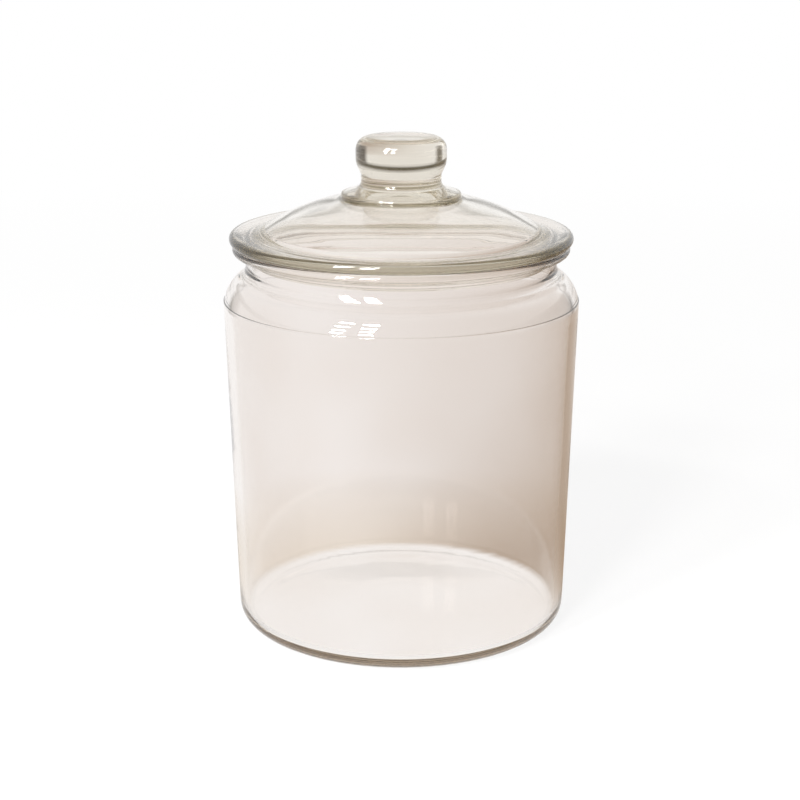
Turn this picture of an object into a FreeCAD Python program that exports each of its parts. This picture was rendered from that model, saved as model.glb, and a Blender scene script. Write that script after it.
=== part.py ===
"""Lidded glass canister: a blown jar and a pressed lid with a solid knob.

Lengths are in millimetres. +Z is up and the origin is the middle of the ring that the jar stands on.
Both pieces are turned shapes, so each is one wall section revolved about Z.
"""

import FreeCAD, Part
import math
import os

import Sketcher

# Each driving dimension has one cell: its alias, its value and what it measures.
JAR_SIZES = [
    ("jar_height", 194.6, "standing ring to the top of the rim"),
    ("body_radius", 88.5, "outside radius at the line under the shoulder"),
    ("body_draft", 4.9, "how much narrower the foot is than that line"),
    ("wall", 3.9, "side wall"),
    ("floor_wall", 4.0, "floor, above the hollow under it"),
    ("floor_crown", 0.8, "rise of the floor at its middle"),
    ("heel_round", 8.5, "outside round from wall to standing ring"),
    ("inner_heel_round", 5.0, "inside round from wall to floor"),
    ("foot_ring", 4.5, "width of the flat standing ring"),
    ("foot_hollow", 1.2, "depth of the hollow under the floor"),
    ("foot_slope", 45.0, "width of the slope into that hollow"),
    ("foot_slope_round", 300.0, "round at the top of that slope"),
    ("shoulder_height", 27.6, "line under the shoulder to the top of the rim"),
    ("shoulder_ledge", 0.45, "step in at that line"),
    ("shoulder_rise", 7.2, "that line to the corner of the shoulder"),
    ("shoulder_lean", 2.0, "how far the shoulder leans in over that rise"),
    ("shoulder_round", 16.0, "outside round of the shoulder"),
    ("inner_shoulder_round", 13.0, "inside round of the shoulder"),
    ("neck_inset", 11.4, "how much narrower the neck is than the body"),
    ("neck_wall", 3.2, "wall at the neck"),
    ("neck_low", 13.9, "rim top down to the foot of the neck"),
    ("neck_high", 5.2, "rim top down to the head of the neck"),
    ("neck_low_round", 7.0, "round from shoulder to neck"),
    ("neck_high_round", 1.4, "round from neck to rim bead"),
    ("inner_neck_drop", 1.9, "foot of the neck down to the inside corner under the mouth"),
    ("inner_neck_round", 5.0, "inside round from shoulder to mouth"),
    ("rim_bead", 6.5, "how far the rim bead stands out from the neck"),
    ("rim_bead_low", 4.0, "rim top down to the corner of the bead"),
    ("rim_bead_round", 1.8, "round under the bead"),
    ("rim_round", 2.4, "round of the rim's outer edge"),
    ("mouth_round", 1.8, "round of the mouth's edge"),
]

LID_SIZES = [
    ("flange_overhang", 1.5, "how far the flange stands out past the rim bead"),
    ("flange_thick", 5.3, "flange at its edge"),
    ("flange_round", 2.5, "round of the flange's edge, above and below"),
    ("plug_gap", 1.2, "gap all round between the locating ring and the mouth"),
    ("plug_depth", 9.5, "locating ring below the flange"),
    ("plug_wall", 4.0, "locating ring at its end"),
    ("plug_draft", 0.5, "how much each side of the ring slopes over its depth"),
    ("plug_round", 1.7, "round of the ring's end"),
    ("plug_root_round", 0.8, "round from ring to flange"),
    ("plug_inner_round", 4.0, "inside round from ring to dome"),
    ("dome_wall", 5.0, "thickness of the dome"),
    ("dome_rise", 17.1, "flange top to the foot of the collar"),
    ("dome_cap", 3.2, "rise of the dome inside the collar, from its foot"),
    ("dome_foot_inset", 12.5, "flange edge in to the foot of the dome"),
    ("dome_bulge_out", 1.5, "dome's outside corner, out from half way between its foot and the collar"),
    ("dome_bulge_up", 3.55, "the same corner, up from half way"),
    ("dome_round", 120.0, "outside round of the dome"),
    ("dome_foot_round", 4.0, "round from dome to flange top"),
    ("hollow_bulge_out", 1.85, "dome's inside corner, out from half way to the locating ring"),
    ("hollow_foot_rise", 3.4, "dome above the flange top, over the inside of the locating ring"),
    ("hollow_round", 120.0, "inside round of the dome"),
    ("collar_radius", 29.6, "disc at the foot of the knob"),
    ("collar_thick", 2.3, "edge of that disc"),
    ("collar_round", 1.1, "round of its upper edge"),
    ("collar_foot_round", 0.6, "round from dome to disc"),
    ("waist_radius", 19.8, "narrowest place under the knob"),
    ("waist_foot", 3.3, "disc edge up to the foot of the waist"),
    ("waist_height", 5.6, "foot of the waist up to the knob"),
    ("waist_foot_round", 3.4, "round from disc to waist"),
    ("waist_head_round", 1.0, "round from waist to knob"),
    ("knob_radius", 22.4, "knob at its widest"),
    ("knob_height", 18.5, "waist to the edge of the knob's top"),
    ("knob_belly", 5.8, "waist up to the knob's widest corner"),
    ("knob_belly_round", 10.0, "round of the knob's lower side"),
    ("knob_top_round", 6.4, "round of the knob's upper edge"),
    ("knob_crown", 0.4, "rise of the knob's top at its middle"),
    ("least_flat", 0.2, "least straight left between the two rounds of an edge"),
    ("round_share", 0.9, "largest share of a straight run that its round may take"),
]

# Places that follow from the sizes above. A name with no sheet before it is in this same sheet.
PLACES = [
    ("foot_radius", "Sizes.body_radius - Sizes.body_draft"),
    ("foot_inner", "foot_radius - Sizes.heel_round - Sizes.foot_ring"),
    ("foot_hollow_edge", "foot_inner - Sizes.foot_slope"),
    ("shoulder_line", "Sizes.jar_height - Sizes.shoulder_height"),
    ("shoulder_foot_radius", "Sizes.body_radius - Sizes.shoulder_ledge"),
    ("shoulder_radius", "Sizes.body_radius - Sizes.shoulder_lean"),
    ("shoulder_level", "shoulder_line + Sizes.shoulder_rise"),
    ("neck_radius", "Sizes.body_radius - Sizes.neck_inset"),
    ("neck_low_level", "Sizes.jar_height - Sizes.neck_low"),
    ("neck_high_level", "Sizes.jar_height - Sizes.neck_high"),
    ("rim_radius", "neck_radius + Sizes.rim_bead"),
    ("rim_bead_level", "Sizes.jar_height - Sizes.rim_bead_low"),
    ("mouth_radius", "neck_radius - Sizes.neck_wall"),
    ("inner_neck_level", "neck_low_level - Sizes.inner_neck_drop"),
    ("inner_shoulder_radius", "Sizes.body_radius - Sizes.wall"),
    ("inner_shoulder_level", "shoulder_level - Sizes.wall"),
    ("inner_foot_radius", "foot_radius - Sizes.wall"),
    ("floor_level", "Sizes.foot_hollow + Sizes.floor_wall"),
    ("floor_middle", "floor_level + Sizes.floor_crown"),
    ("flange_radius", "rim_radius + Sizes.flange_overhang"),
    ("flange_top", "Sizes.jar_height + Sizes.flange_thick"),
    ("flange_edge_round", "min(Sizes.flange_round; (Sizes.flange_thick - Sizes.least_flat) / 2)"),
    ("plug_root_radius", "mouth_radius - Sizes.plug_gap"),
    ("plug_end", "Sizes.jar_height - Sizes.plug_depth"),
    ("plug_end_radius", "plug_root_radius - Sizes.plug_draft"),
    ("plug_inner_end", "plug_end_radius - Sizes.plug_wall"),
    ("plug_end_round", "min(Sizes.plug_round; (Sizes.plug_wall - Sizes.least_flat) / 2)"),
    ("plug_inner_root", "plug_inner_end - Sizes.plug_draft"),
    ("hollow_foot", "flange_top + Sizes.hollow_foot_rise - Sizes.dome_wall"),
    ("collar_foot", "flange_top + Sizes.dome_rise"),
    ("dome_foot_radius", "flange_radius - Sizes.dome_foot_inset"),
    ("dome_crown_radius", "(dome_foot_radius + Sizes.collar_radius) / 2 + Sizes.dome_bulge_out"),
    ("dome_crown_level", "(flange_top + collar_foot) / 2 + Sizes.dome_bulge_up"),
    ("dome_low_run", "hypot(dome_foot_radius - dome_crown_radius; dome_crown_level - flange_top)"),
    ("dome_low_slope", "atan2(dome_crown_level - flange_top; dome_foot_radius - dome_crown_radius)"),
    ("dome_high_run", "hypot(dome_crown_radius - Sizes.collar_radius; collar_foot - dome_crown_level)"),
    ("dome_high_slope", "atan2(collar_foot - dome_crown_level; dome_crown_radius - Sizes.collar_radius)"),
    ("dome_reach", "Sizes.round_share * min(dome_low_run; dome_high_run)"),
    ("dome_crown_round", "min(Sizes.dome_round; dome_reach / tan((dome_low_slope - dome_high_slope) / 2))"),
    ("hollow_top", "collar_foot + Sizes.dome_cap - Sizes.dome_wall"),
    ("hollow_crown_radius", "plug_inner_root / 2 + Sizes.hollow_bulge_out"),
    ("hollow_run", "hypot(plug_inner_root - hollow_crown_radius; hollow_top - hollow_foot)"),
    ("hollow_slope", "atan2(hollow_top - hollow_foot; plug_inner_root - hollow_crown_radius)"),
    ("hollow_reach", "Sizes.round_share * min(hollow_crown_radius; hollow_run)"),
    ("hollow_crown_round", "min(Sizes.hollow_round; hollow_reach / tan(hollow_slope / 2))"),
    ("collar_top", "collar_foot + Sizes.collar_thick"),
    ("waist_foot_level", "collar_top + Sizes.waist_foot"),
    ("waist_head_level", "waist_foot_level + Sizes.waist_height"),
    ("belly_level", "waist_head_level + Sizes.knob_belly"),
    ("knob_edge", "waist_head_level + Sizes.knob_height"),
    ("knob_top", "knob_edge + Sizes.knob_crown"),
]

# Wall sections, anticlockwise: the radius, height and round of each corner, by name.
ON_AXIS = None
ON_FLOOR = None
SHARP = None

JAR_SECTION = [
    (ON_AXIS, "foot_hollow", SHARP),
    ("foot_hollow_edge", "foot_hollow", "foot_slope_round"),
    ("foot_inner", ON_FLOOR, SHARP),
    ("foot_radius", ON_FLOOR, "heel_round"),
    ("body_radius", "shoulder_line", SHARP),
    ("shoulder_foot_radius", "shoulder_line", SHARP),
    ("shoulder_radius", "shoulder_level", "shoulder_round"),
    ("neck_radius", "neck_low_level", "neck_low_round"),
    ("neck_radius", "neck_high_level", "neck_high_round"),
    ("rim_radius", "rim_bead_level", "rim_bead_round"),
    ("rim_radius", "jar_height", "rim_round"),
    ("mouth_radius", "jar_height", "mouth_round"),
    ("mouth_radius", "inner_neck_level", "inner_neck_round"),
    ("inner_shoulder_radius", "inner_shoulder_level", "inner_shoulder_round"),
    ("inner_foot_radius", "floor_level", "inner_heel_round"),
    (ON_AXIS, "floor_middle", SHARP),
]

LID_SECTION = [
    (ON_AXIS, "hollow_top", SHARP),
    ("hollow_crown_radius", "hollow_top", "hollow_crown_round"),
    ("plug_inner_root", "hollow_foot", "plug_inner_round"),
    ("plug_inner_end", "plug_end", "plug_end_round"),
    ("plug_end_radius", "plug_end", "plug_end_round"),
    ("plug_root_radius", "jar_height", "plug_root_round"),
    ("flange_radius", "jar_height", "flange_edge_round"),
    ("flange_radius", "flange_top", "flange_edge_round"),
    ("dome_foot_radius", "flange_top", "dome_foot_round"),
    ("dome_crown_radius", "dome_crown_level", "dome_crown_round"),
    ("collar_radius", "collar_foot", "collar_foot_round"),
    ("collar_radius", "collar_top", "collar_round"),
    ("waist_radius", "waist_foot_level", "waist_foot_round"),
    ("waist_radius", "waist_head_level", "waist_head_round"),
    ("knob_radius", "belly_level", "knob_belly_round"),
    ("knob_radius", "knob_edge", "knob_top_round"),
    (ON_AXIS, "knob_top", SHARP),
]

FULL_TURN = 360.0

doc = FreeCAD.newDocument("canister")

sizes = doc.addObject("Spreadsheet::Sheet", "Sizes")
for row, (alias, value, meaning) in enumerate(JAR_SIZES + LID_SIZES, start=1):
    sizes.set(f"A{row}", meaning)
    sizes.set(f"B{row}", str(value))
    sizes.setAlias(f"B{row}", alias)

places = doc.addObject("Spreadsheet::Sheet", "Places")
for row, (alias, formula) in enumerate(PLACES, start=1):
    places.set(f"A{row}", alias.replace("_", " "))
    places.set(f"B{row}", "=" + formula)
    places.setAlias(f"B{row}", alias)
doc.recompute()

PLACE_NAMES = {alias for alias, formula in PLACES}


def cell(name):
    """The expression that reads a named size or place."""
    return f"Places.{name}" if name in PLACE_NAMES else f"Sizes.{name}"


def value(name):
    """The number in a named cell, or 0 for a place on an axis."""
    if name is None:
        return 0.0
    return float(getattr(places if name in PLACE_NAMES else sizes, name))


def bind(sketch, constraint, label, name):
    """Add a dimension to a sketch and tie it to its cell."""
    index = sketch.addConstraint(constraint)
    sketch.renameConstraint(index, label)
    sketch.setExpression(f"Constraints.{label}", cell(name))


def hold_corner(sketch, geometry, end, label, radius, height):
    """Fix one point of a sketch at a named radius and height."""
    origin, origin_point, level_axis, turning_axis = -1, 1, -1, -2
    if radius is ON_AXIS:
        sketch.addConstraint(Sketcher.Constraint("PointOnObject", geometry, end, turning_axis))
    else:
        across = Sketcher.Constraint("DistanceX", origin, origin_point, geometry, end, value(radius))
        bind(sketch, across, label + "_radius", radius)
    if height is ON_FLOOR:
        sketch.addConstraint(Sketcher.Constraint("PointOnObject", geometry, end, level_axis))
    else:
        up = Sketcher.Constraint("DistanceY", origin, origin_point, geometry, end, value(height))
        bind(sketch, up, label + "_height", height)


def draw_section(sketch, corners):
    """Draw a closed outline through the corners, each rounded by a tangent arc or left sharp."""
    start, end = 1, 2
    count = len(corners)
    points = [FreeCAD.Vector(value(radius), value(height), 0) for radius, height, _ in corners]

    # Straight edges run between the points where the rounds begin and end.
    first = []
    last = []
    turns = []
    for index, (_, _, rounding) in enumerate(corners):
        before = (points[index] - points[index - 1]).normalize()
        after = (points[(index + 1) % count] - points[index]).normalize()
        turn = math.atan2(before.x * after.y - before.y * after.x, before.dot(after))
        reach = value(rounding) * math.tan(abs(turn) / 2)
        turns.append(turn)
        first.append(points[index] - before * reach)
        last.append(points[index] + after * reach)
    edges = []
    for index in range(count):
        line = Part.LineSegment(last[index], first[(index + 1) % count])
        edges.append(sketch.addGeometry(line, False))

    for index, (radius, height, rounding) in enumerate(corners):
        label = f"corner_{index + 1}"
        arriving = edges[index - 1]
        leaving = edges[index]
        if rounding is SHARP:
            sketch.addConstraint(Sketcher.Constraint("Coincident", arriving, end, leaving, start))
            hold_corner(sketch, leaving, start, label, radius, height)
            continue
        corner = sketch.addGeometry(Part.Point(points[index]), True)
        hold_corner(sketch, corner, start, label, radius, height)
        sketch.addConstraint(Sketcher.Constraint("PointOnObject", corner, start, arriving))
        sketch.addConstraint(Sketcher.Constraint("PointOnObject", corner, start, leaving))

        # The arc's own direction is anticlockwise, so a hollow round meets its edges the other way round.
        to_centre = (first[index] + last[index] - points[index] * 2).normalize()
        depth = value(rounding) / math.cos(turns[index] / 2)
        centre = points[index] + to_centre * depth
        ends = [first[index], last[index]] if turns[index] > 0 else [last[index], first[index]]
        angles = [math.atan2(point.y - centre.y, point.x - centre.x) for point in ends]
        circle = Part.Circle(centre, FreeCAD.Vector(0, 0, 1), value(rounding))
        arc = sketch.addGeometry(Part.ArcOfCircle(circle, *angles), False)
        arc_in, arc_out = (start, end) if turns[index] > 0 else (end, start)
        sketch.addConstraint(Sketcher.Constraint("Tangent", arriving, end, arc, arc_in))
        sketch.addConstraint(Sketcher.Constraint("Tangent", arc, arc_out, leaving, start))
        bend = Sketcher.Constraint("Radius", arc, value(rounding))
        bind(sketch, bend, label + "_round", rounding)


def turned_piece(name, corners):
    """A body made by turning one wall section about Z."""
    body = doc.addObject("PartDesign::Body", name)
    body.Label = name
    section = body.newObject("Sketcher::SketchObject", name + "_section")
    plane = next(item for item in body.Origin.OriginFeatures if item.Role == "XZ_Plane")
    section.AttachmentSupport = [(plane, "")]
    section.MapMode = "FlatFace"
    draw_section(section, corners)
    doc.recompute()
    if section.solve() != 0 or not section.FullyConstrained:
        raise RuntimeError(f"the section of {name} is not fully held")
    turned = body.newObject("PartDesign::Revolution", name + "_turned")
    turned.Profile = section
    turned.ReferenceAxis = (section, ["V_Axis"])
    turned.Angle = FULL_TURN
    doc.recompute()
    return body


pieces = [
    turned_piece("jar", JAR_SECTION),
    turned_piece("lid", LID_SECTION),
]
doc.recompute()

for item in doc.Objects:
    if "Invalid" in item.State or "Error" in item.State:
        raise RuntimeError(f"{item.Name} failed: {item.State}")
for piece in pieces:
    if piece.Shape.isNull() or not piece.Shape.isValid() or len(piece.Shape.Solids) != 1:
        raise RuntimeError(f"{piece.Label} has no valid solid")

os.makedirs("parts", exist_ok=True)
for piece in pieces:
    piece.Shape.exportStep(f"parts/{piece.Label}.step")
    box = piece.Shape.optimalBoundingBox()
    print(f"{piece.Label}: volume {piece.Shape.Volume:.0f} mm3, "
          f"width {box.XLength:.1f}, height {box.ZMin:.1f} to {box.ZMax:.1f}")
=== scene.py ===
import math

import bmesh
import bpy
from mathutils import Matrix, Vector


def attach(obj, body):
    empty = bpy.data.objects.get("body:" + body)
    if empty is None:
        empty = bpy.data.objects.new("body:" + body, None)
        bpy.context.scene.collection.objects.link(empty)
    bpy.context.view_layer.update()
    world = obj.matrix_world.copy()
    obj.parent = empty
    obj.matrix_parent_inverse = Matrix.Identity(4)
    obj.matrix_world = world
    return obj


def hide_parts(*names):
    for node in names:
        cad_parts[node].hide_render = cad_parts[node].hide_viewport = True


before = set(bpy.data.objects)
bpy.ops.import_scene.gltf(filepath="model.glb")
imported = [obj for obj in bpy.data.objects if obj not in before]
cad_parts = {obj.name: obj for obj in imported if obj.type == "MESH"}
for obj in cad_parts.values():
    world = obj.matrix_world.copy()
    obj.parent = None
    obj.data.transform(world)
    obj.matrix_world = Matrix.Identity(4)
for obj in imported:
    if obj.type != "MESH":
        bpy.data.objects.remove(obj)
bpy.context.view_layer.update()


# Jar: one gather of soda-lime glass blown in a turning mould, so its wall is round and a little uneven.
# The rim was reheated into a bead, and the floor was pushed up so that the jar stands on a narrow ring.
MM = 0.001


def set_down(name, shape):
    """Make a finished bmesh an object of the scene."""
    mesh = bpy.data.meshes.new(name)
    shape.to_mesh(mesh)
    shape.free()
    made = bpy.data.objects.new(name, mesh)
    bpy.context.scene.collection.objects.link(made)
    return made


def turned_glass(name, corners):
    """Turn a wall section about Z. Each corner is a radius, a height and a round, in mm."""
    turn_steps = 224
    arc_steps = 10
    longest_run = 6.0 * MM
    same_point = 0.002 * MM

    section = bmesh.new()
    points = [section.verts.new(Vector((radius, 0, height)) * MM) for radius, height, _ in corners]
    for point, following in zip(points, points[1:]):
        section.edges.new((point, following))

    # A round begins as far from its corner as its radius and the turn there ask.
    offsets = []
    for index, (_, _, rounding) in enumerate(corners):
        if rounding:
            arriving = points[index].co - points[index - 1].co
            leaving = points[index + 1].co - points[index].co
            offsets.append(rounding * MM * math.tan(arriving.angle(leaving) / 2))
        else:
            offsets.append(0.0)
    for point, offset in zip(points, offsets):
        if offset:
            bmesh.ops.bevel(section, geom=[point], offset=offset, offset_type="OFFSET", affect="VERTICES",
                            segments=arc_steps, profile=0.5, material=-1)

    # Long straight runs are cut up, so that the rounds at their ends don't bend the light all along them.
    for edge in section.edges[:]:
        cuts = int(edge.calc_length() / longest_run)
        if cuts:
            bmesh.ops.subdivide_edges(section, edges=[edge], cuts=cuts)
    bmesh.ops.spin(section, geom=section.verts[:] + section.edges[:], cent=(0, 0, 0), axis=(0, 0, 1),
                   angle=math.tau, steps=turn_steps, use_merge=True)
    bmesh.ops.remove_doubles(section, verts=section.verts[:], dist=same_point)
    bmesh.ops.recalc_face_normals(section, faces=section.faces[:])
    for face in section.faces:
        face.smooth = True
    return set_down(name, section)


jar = turned_glass("jar_blown", [
    (0, 1.2, 0),  # hollow under the floor
    (25.6, 1.2, 300.0),
    (70.6, 0, 20.0),  # standing ring and heel
    (83.6, 0, 8.5),
    (88.5, 167.0, 0.5),  # ledge line
    (88.05, 167.0, 0.5),
    (86.5, 174.2, 16.0),  # shoulder
    (77.1, 180.7, 7.0),  # neck
    (77.1, 189.4, 1.4),
    (83.6, 190.6, 1.8),  # rim bead
    (83.6, 194.6, 2.4),
    (73.9, 194.6, 1.8),  # mouth
    (73.9, 178.8, 5.0),
    (84.6, 170.3, 13.0),  # inside of the shoulder, wall and floor
    (79.7, 5.2, 5.0),
    (0, 6.0, 0),
])


def linear(colour):
    """The linear colour of an sRGB hex value."""
    parts = [int(colour[i:i + 2], 16) / 255 for i in (1, 3, 5)]
    return (*[c / 12.92 if c <= 0.04045 else ((c + 0.055) / 1.055) ** 2.4 for c in parts], 1.0)


def bare_finish(name):
    """Start a material that has no nodes yet."""
    finish = bpy.data.materials.new(name)
    finish.use_nodes = True
    finish.node_tree.nodes.clear()
    return finish


def node(tree, kind, inputs=None, **settings):
    """Add a node with its settings, and set or link its inputs."""
    made = tree.nodes.new("ShaderNode" + kind)
    for name, value in settings.items():
        setattr(made, name, value)
    for name, value in (inputs or {}).items():
        if isinstance(value, bpy.types.NodeSocket):
            tree.links.new(value, made.inputs[name])
        else:
            made.inputs[name].default_value = value
    return made


def fire_polished(name, tint, cord_tint, cast, cast_density, rings, ring_height, waves, wave_height):
    """Clear soda-lime glass, with its cast in the depth of the wall. Rings and waves are in mm."""
    ring_run = 30.0
    glass = bare_finish(name)
    tree = glass.node_tree
    place = node(tree, "TexCoord")
    along = node(tree, "Mapping", {
        "Vector": place.outputs["Object"],
        "Scale": (1 / (ring_run * MM), 1 / (ring_run * MM), 1 / (rings * MM)),
    })
    mould = node(tree, "TexNoise", {"Vector": along.outputs["Vector"], "Scale": 1.0, "Detail": 1.0})
    ripple = node(tree, "Bump", {
        "Height": mould.outputs["Fac"],
        "Strength": 1.0,
        "Distance": ring_height * MM,
    })
    slow = node(tree, "TexNoise", {
        "Vector": place.outputs["Object"],
        "Scale": 1 / (waves * MM),
        "Detail": 0.0,
    })
    wavy = node(tree, "Bump", {
        "Height": slow.outputs["Fac"],
        "Strength": 1.0,
        "Distance": wave_height * MM,
        "Normal": ripple.outputs["Normal"],
    })
    cords = node(tree, "MapRange", {"Value": slow.outputs["Fac"], "From Min": 0.3, "From Max": 0.7})
    colour = node(tree, "Mix", {
        0: cords.outputs[0],
        6: linear(tint),
        7: linear(cord_tint),
    }, data_type="RGBA")
    body = node(tree, "BsdfPrincipled", {
        "Base Color": colour.outputs[2],
        "Roughness": 0.0,
        "IOR": 1.52,
        "Transmission Weight": 1.0,
        "Normal": wavy.outputs["Normal"],
    })
    depth = node(tree, "VolumeAbsorption", {"Color": linear(cast), "Density": cast_density})
    node(tree, "OutputMaterial", {"Surface": body.outputs["BSDF"], "Volume": depth.outputs["Volume"]})
    return glass


# Blown soda-lime glass, fire-polished: clear, with a faint warm cast where one looks through two walls.
# Slow waves in the wall bend what is seen through it, and fine rings from the mould break up highlights.
jar.data.materials.append(fire_polished(
    "soda_lime_blown_fire_polished", tint="#FCFAF9", cord_tint="#FAF7F5", cast="#D9CEBC", cast_density=16.0,
    rings=2.8, ring_height=0.012, waves=40.0, wave_height=0.08))

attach(jar, "jar")
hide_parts("jar")


# Lid: soda-lime glass pressed in one stroke, its dome, flange, locating ring and solid knob in one piece.
# It lies loose on the rim, and the air between the two is drawn 0.15 mm thick.
lid = turned_glass("lid_pressed", [
    (0, 215.2, 0),  # hollow of the dome
    (35.7, 215.2, 120.0),
    (67.7, 198.3, 4.0),
    (68.2, 185.1, 1.7),  # locating ring
    (72.2, 185.1, 1.7),
    (72.7, 194.75, 0.8),
    (85.1, 194.75, 2.5),  # flange
    (85.1, 199.9, 2.5),
    (72.6, 199.9, 4.0),  # dome
    (52.6, 212.0, 120.0),
    (29.6, 217.0, 0.6),  # collar
    (29.6, 219.3, 1.1),
    (19.8, 222.6, 3.4),  # waist
    (19.8, 228.2, 1.0),
    (22.4, 234.0, 10.0),  # knob
    (22.4, 246.7, 6.4),
    (0, 247.1, 0),
])

# Pressed soda-lime glass, fire-polished: as clear as the jar, with an olive cast in its thick parts.
lid_glass = fire_polished(
    "soda_lime_pressed_fire_polished", tint="#FCFAF7", cord_tint="#FAF7F4", cast="#C9BE9C", cast_density=12.0,
    rings=3.0, ring_height=0.02, waves=24.0, wave_height=0.06)

# At the flange's edge and the foot of the collar the base colour is darkened to olive: painted shade for the
# dark bands that looking along the glass and the bend of light under the collar give.
collar_foot = (29.6 * MM, 217.2 * MM, 0)
tree = lid_glass.node_tree
lid_body = tree.nodes["Principled BSDF"]
place = node(tree, "TexCoord")
across = node(tree, "VectorMath", {0: place.outputs["Object"], 1: (1, 1, 0)}, operation="MULTIPLY")
radius = node(tree, "VectorMath", {0: across.outputs[0]}, operation="LENGTH")
height = node(tree, "SeparateXYZ", {0: place.outputs["Object"]})
section = node(tree, "CombineXYZ", {"X": radius.outputs["Value"], "Y": height.outputs["Z"]})
from_collar = node(tree, "VectorMath", {0: section.outputs["Vector"], 1: collar_foot}, operation="DISTANCE")
collar = node(tree, "MapRange", {
    "Value": from_collar.outputs["Value"],
    "From Min": 1.5 * MM,
    "From Max": 0.7 * MM,
})
flange = node(tree, "MapRange", {
    "Value": radius.outputs["Value"],
    "From Min": 82.8 * MM,
    "From Max": 84.8 * MM,
})
# Painted shade mask: the flange's edge and the foot of the collar.
edges = node(tree, "Math", {0: flange.outputs[0], 1: collar.outputs[0]}, operation="MAXIMUM")
# Painted shade: the base colour mixed towards dark olive there.
olive = node(tree, "Mix", {
    0: edges.outputs[0],
    6: lid_body.inputs["Base Color"].links[0].from_socket,
    7: linear("#9C947C"),
}, data_type="RGBA")
tree.links.new(olive.outputs[2], lid_body.inputs["Base Color"])
lid.data.materials.append(lid_glass)

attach(lid, "lid")
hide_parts("lid")


# Floor: a plain pale sheet of paper under the jar, wide enough to run out of every view.
# It lies a hair below the standing ring, so that the two faces don't share a plane.
floor_half = 6.0
floor_drop = 0.2 * MM
sheet = bmesh.new()
bmesh.ops.create_grid(sheet, x_segments=1, y_segments=1, size=floor_half)
bmesh.ops.translate(sheet, verts=sheet.verts[:], vec=(0, 0, -floor_drop))
floor = set_down("floor", sheet)

# White paper: matt where it takes the jar's shadow, and lifted to white where the camera looks far across it.
# Seen in the glass it is white under the jar, with a painted shadow just behind it and painted warm shade at
# the right.
painted_shade_side = (0.77, 0.64, 0)
paper = bare_finish("white_paper")
tree = paper.node_tree
matt = node(tree, "BsdfDiffuse", {"Color": linear("#EEEDEC")})
place = node(tree, "TexCoord")
away = node(tree, "VectorMath", {0: place.outputs["Object"]}, operation="LENGTH")
bearing = node(tree, "VectorMath", {0: place.outputs["Object"]}, operation="NORMALIZE")

# Painted warm shade: tan, strongest to the right of the jar and fading with distance.
side = node(tree, "VectorMath", {0: bearing.outputs[0], 1: painted_shade_side}, operation="DOT_PRODUCT")
right = node(tree, "MapRange", {"Value": side.outputs["Value"], "From Min": 0.3, "From Max": 1.0})
swell = node(tree, "Math", {0: right.outputs[0], 1: 2.0}, operation="POWER")
fading = node(tree, "MapRange", {
    "Value": away.outputs["Value"],
    "From Min": 0.7,
    "From Max": 2.2,
    "To Min": 1.0,
    "To Max": 0.0,
})
painted_shade_warmth = node(tree, "Math", {0: swell.outputs[0], 1: fading.outputs[0]}, operation="MULTIPLY")
painted_warm_shade = node(tree, "Mix", {
    0: painted_shade_warmth.outputs[0],
    6: linear("#FFFEFE"),
    7: linear("#BBA998"),
}, data_type="RGBA")

# Painted shadow: darker near the jar and towards its back.
near = node(tree, "MapRange", {
    "Value": away.outputs["Value"],
    "From Min": 0.10,
    "From Max": 0.24,
    "To Min": 1.0,
    "To Max": 0.0,
})
behind = node(tree, "VectorMath", {0: bearing.outputs[0], 1: (0, 1, 0)}, operation="DOT_PRODUCT")
rear = node(tree, "MapRange", {"Value": behind.outputs["Value"], "From Min": -0.3, "From Max": 0.6})
shaded = node(tree, "Math", {0: near.outputs[0], 1: rear.outputs[0]}, operation="MULTIPLY")
painted_shadow_behind = node(tree, "Mix", {
    0: shaded.outputs[0],
    6: painted_warm_shade.outputs[2],
    7: linear("#EEE6DA"),
}, data_type="RGBA", blend_type="MULTIPLY")
# Only the glass sees this: white under the jar, and the painted shade and shadow around it.
outside = node(tree, "MapRange", {"Value": away.outputs["Value"], "From Min": 0.084, "From Max": 0.094})
in_glass = node(tree, "Mix", {
    0: outside.outputs[0],
    6: linear("#FFFFFF"),
    7: painted_shadow_behind.outputs[2],
}, data_type="RGBA")

path = node(tree, "LightPath")
through = node(tree, "Math", {
    0: path.outputs["Is Glossy Ray"],
    1: path.outputs["Is Transmission Ray"],
}, operation="MAXIMUM")
shown = node(tree, "Mix", {
    0: through.outputs[0],
    6: linear("#FFFFFF"),
    7: in_glass.outputs[2],
}, data_type="RGBA")
glow = node(tree, "Emission", {"Color": shown.outputs[2], "Strength": 1.0})
far = node(tree, "MapRange", {
    "Value": away.outputs["Value"],
    "From Min": 0.4,
    "From Max": 1.4,
    "To Min": 0.86,
    "To Max": 1.0,
})
direct = node(tree, "Math", {0: path.outputs["Is Camera Ray"], 1: far.outputs[0]}, operation="MULTIPLY")
share = node(tree, "Math", {0: direct.outputs[0], 1: through.outputs[0]}, operation="MAXIMUM")
white = node(tree, "MixShader", {0: share.outputs[0], 1: matt.outputs["BSDF"], 2: glow.outputs["Emission"]})
node(tree, "OutputMaterial", {"Surface": white.outputs["Shader"]})
floor.data.materials.append(paper)
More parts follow.
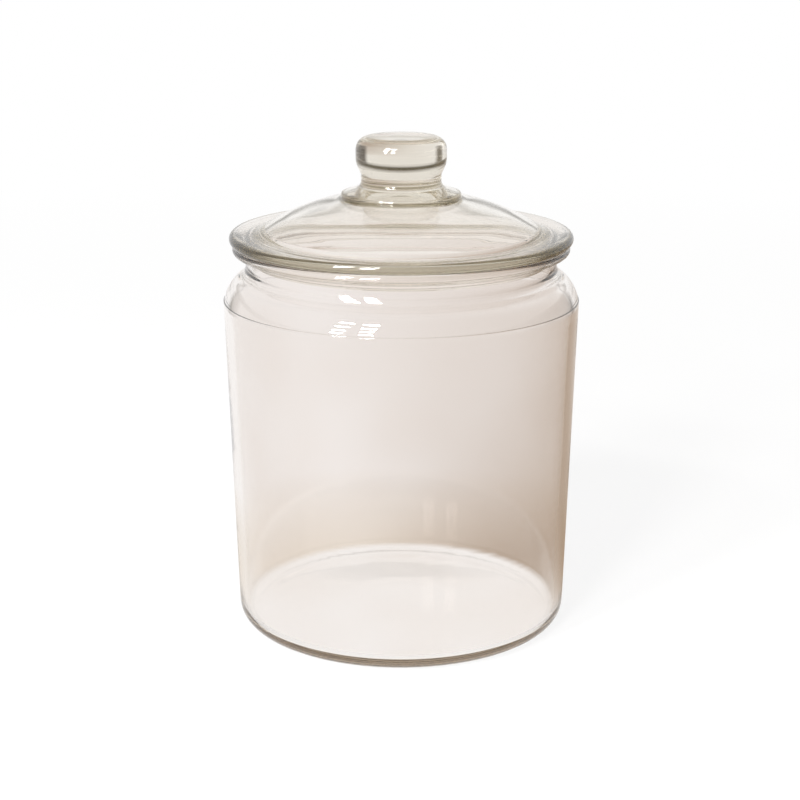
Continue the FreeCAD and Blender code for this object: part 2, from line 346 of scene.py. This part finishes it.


# Flags: a low belt and two flags at its sides, dark cards of painted shade that are seen only through the
# glass.
# They draw the bright and dark lines in its rims and in the knob, and fade out softly at their edges.
# Bearings and sweeps are in degrees, sizes in metres, and fades along X and Y in shares of the reach.
felt_steps = 48
for name, shade, bearing_from, sweep, reach, bottom, top, fades in (
        ("belt", "#5E5744", 0, 360, 3.0, 0.44, 0.9,
         (("Z", 0.46, 0.58), ("Z", 0.84, 0.66))),
        ("flag_left", "#7A7161", -32, -26, 0.8, 0.0, 0.4,
         (("X", -0.56, -0.66), ("X", -0.83, -0.755), ("Z", 0.02, 0.10), ("Z", 0.38, 0.28))),
        ("flag_right", "#554C3F", 32, 70, 0.8, 0.0, 0.4,
         (("X", 0.56, 0.66), ("Y", -0.17, -0.02), ("Z", 0.02, 0.10), ("Z", 0.38, 0.28)))):
    outward = Vector((math.sin(math.radians(bearing_from)), math.cos(math.radians(bearing_from)), 0))
    card = bmesh.new()
    foot = card.verts.new(outward * reach + Vector((0, 0, bottom)))
    head = card.verts.new(outward * reach + Vector((0, 0, top)))
    card.edges.new((foot, head))
    bmesh.ops.spin(card, geom=card.verts[:] + card.edges[:], cent=(0, 0, 0), axis=(0, 0, 1),
                   angle=-math.radians(sweep), steps=felt_steps)
    flag = set_down(name, card)

    # Painted shade: an even dark glow, though the cards are no lamps, thinned to nothing towards their edges.
    painted_shade_card = bare_finish(name + "_felt")
    tree = painted_shade_card.node_tree
    place = node(tree, "TexCoord")
    shares = node(tree, "VectorMath", {
        0: place.outputs["Object"],
        1: (1 / reach, 1 / reach, 1),
    }, operation="MULTIPLY")
    split = node(tree, "SeparateXYZ", {0: shares.outputs[0]})
    cover = 1.0
    for axis, begin, full in fades:
        fade = node(tree, "MapRange", {"Value": split.outputs[axis], "From Min": begin, "From Max": full})
        cover = node(tree, "Math", {0: cover, 1: fade.outputs[0]}, operation="MULTIPLY").outputs[0]
    dark = node(tree, "Emission", {"Color": linear(shade), "Strength": 1.0})
    clear = node(tree, "BsdfTransparent")
    soft = node(tree, "MixShader", {0: cover, 1: clear.outputs["BSDF"], 2: dark.outputs["Emission"]})
    node(tree, "OutputMaterial", {"Surface": soft.outputs["Shader"]})
    flag.data.materials.append(painted_shade_card)
    flag.visible_camera = False
    flag.visible_diffuse = False
    flag.visible_glossy = False
    flag.visible_shadow = False


# Light: a white surround that the camera and the glass both see, and two columns of soft boxes at the left.
# The boxes leave small bright bars on the shoulder, the flange and the knob.
world = bpy.data.worlds.new("white_surround")
bpy.context.scene.world = world
world.use_nodes = True
tree = world.node_tree
tree.nodes.clear()
path = node(tree, "LightPath")
mirrored = node(tree, "Math", {
    0: path.outputs["Is Camera Ray"],
    1: path.outputs["Is Glossy Ray"],
}, operation="ADD")
seen = node(tree, "Math", {
    0: mirrored.outputs[0],
    1: path.outputs["Is Transmission Ray"],
}, operation="ADD", use_clamp=True)
strength = node(tree, "MapRange", {"Value": seen.outputs[0], "To Min": 0.6, "To Max": 1.0})
surround = node(tree, "Background", {"Color": linear("#FFFFFF"), "Strength": strength.outputs[0]})
node(tree, "OutputWorld", {"Surface": surround.outputs["Background"]})

box_width = 0.30
box_height = 0.12
box_power = 10.0
box_distance = 2.0
box_aim = Vector((0, 0, 0.12))
for column, turn in (("near", 22), ("far", 41)):
    for rise in (17, 27, 37, 47):
        lamp = bpy.data.lights.new(f"soft_box_{column}_{rise}", "AREA")
        lamp.shape = "RECTANGLE"
        lamp.size = box_width
        lamp.size_y = box_height
        lamp.energy = box_power
        box = bpy.data.objects.new(lamp.name, lamp)
        round_left = math.radians(turn)
        upward = math.radians(rise)
        box.location = box_distance * Vector((
            -math.sin(round_left) * math.cos(upward),
            -math.cos(round_left) * math.cos(upward),
            math.sin(upward),
        ))
        box.rotation_euler = (box_aim - box.location).to_track_quat("-Z", "Y").to_euler()
        box.visible_camera = False
        bpy.context.scene.collection.objects.link(box)


# Camera: at the photograph's place, in front of the jar and a little above the lid.
# It looks down by the angle that the ellipses of the rim and the foot give.
camera_tilt = 0.27805
camera_data = bpy.data.cameras.new("camera")
camera_data.lens = 81.5
camera_data.sensor_width = 36.0
camera_data.clip_start = 0.05
camera_data.clip_end = 50.0
camera = bpy.data.objects.new("camera", camera_data)
camera.location = (-0.0006, -0.885, 0.36541)
camera.rotation_euler = (math.pi / 2 - camera_tilt, 0, 0)
bpy.context.scene.collection.objects.link(camera)
bpy.context.scene.camera = camera

bpy.context.scene.view_settings.view_transform = "Standard"

# Light crosses ten and more faces of glass between the knob and the floor, and runs far along inside a wall.
# The clamp keeps stray sparks of the soft boxes out of the rims.
glass_bounces = 64
bpy.context.scene.cycles.max_bounces = glass_bounces
bpy.context.scene.cycles.transmission_bounces = glass_bounces
bpy.context.scene.cycles.glossy_bounces = glass_bounces
bpy.context.scene.cycles.sample_clamp_indirect = 2.0
